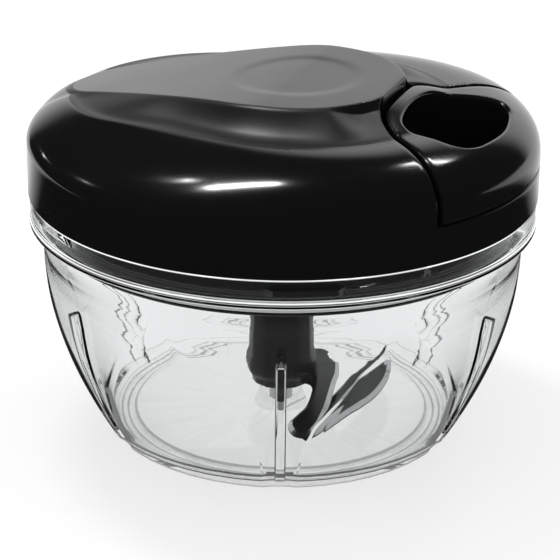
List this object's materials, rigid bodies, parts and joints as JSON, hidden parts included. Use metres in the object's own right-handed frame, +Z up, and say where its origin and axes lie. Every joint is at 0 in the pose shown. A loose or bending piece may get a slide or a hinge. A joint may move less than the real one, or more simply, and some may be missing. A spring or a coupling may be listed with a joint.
{
  "type": "manual food chopper",
  "caption": "Round pull-cord food chopper: fluted clear bowl, domed black lid with a nested pull handle, and a hub of curved blades on a steel pin.",
  "frame": {"origin": "centre of the bowl's flat underside, on the surface that it stands on", "axes": "+Z up along the bowl's and the blade hub's axis; +X the way the pull handle is drawn out"},
  "size_m": [0.127, 0.127, 0.0915],
  "materials": {
    "clear_bowl": "clear polished plastic",
    "gloss_black": "high gloss",
    "satin_black": "satin",
    "hub_black": "semi gloss",
    "steel": "polished",
    "spring_steel": "plain",
    "nylon": "plain",
    "silicone": "matt",
    "cord": "woven"
  },
  "bodies": {
    "bowl": {"bowl": "clear_bowl", "pivot_pin": "steel"},
    "seal_ring": {"lid_seal": "silicone"},
    "lid": {"lid_cover": "gloss_black", "lid_base": "gloss_black", "lid_screw_1": "steel", "lid_screw_2": "steel", "lid_screw_3": "steel", "lid_screw_4": "steel", "shaft_bush": "nylon", "spring_cup": "satin_black", "spring_cover": "satin_black", "recoil_spring": "spring_steel", "reel_axle": "spring_steel", "cord_eyelet": "steel"},
    "reel": {"cord_reel": "nylon", "cord_winding": "cord", "drive_shaft": "spring_steel", "reel_spacer": "nylon"},
    "handle": {"pull_handle": "gloss_black", "cord_knot": "cord", "pull_cord": "cord"},
    "blade_unit": {"blade_hub": "hub_black", "pivot_bush": "nylon", "blade_lower": "steel", "blade_middle": "steel", "blade_upper": "steel"}
  },
  "joints": [
    {"name": "lid_lift", "type": "slide", "parent": "bowl", "child": "seal_ring", "axis": [0, 0, 1], "range_m": [0, 0.09]},
    {"name": "lid_twist", "type": "hinge", "parent": "seal_ring", "child": "lid", "pos_m": [0, 0, 0.06], "axis": [0, 0, 1], "range_deg": [0, 20]},
    {"name": "handle_pull", "type": "slide", "parent": "lid", "child": "handle", "axis": [1, 0, 0], "range_m": [0, 0.35], "stiffness_N_per_m": 10, "springref_m": -0.15, "deforming": ["pull_cord"]},
    {"name": "reel_spin", "type": "hinge", "parent": "lid", "child": "reel", "pos_m": [0, 0, 0.077], "axis": [0, 0, 1], "range_deg": [0, 1340]},
    {"name": "blade_spin", "type": "hinge", "parent": "bowl", "child": "blade_unit", "pos_m": [0, 0, 0.02], "axis": [0, 0, 1], "range_deg": [0, 1340]}
  ],
  "couplings": [
    {"joint": "reel_spin", "follows": "handle_pull", "rad_per_m": 66.667},
    {"joint": "blade_spin", "follows": "handle_pull", "rad_per_m": 66.667}
  ]
}
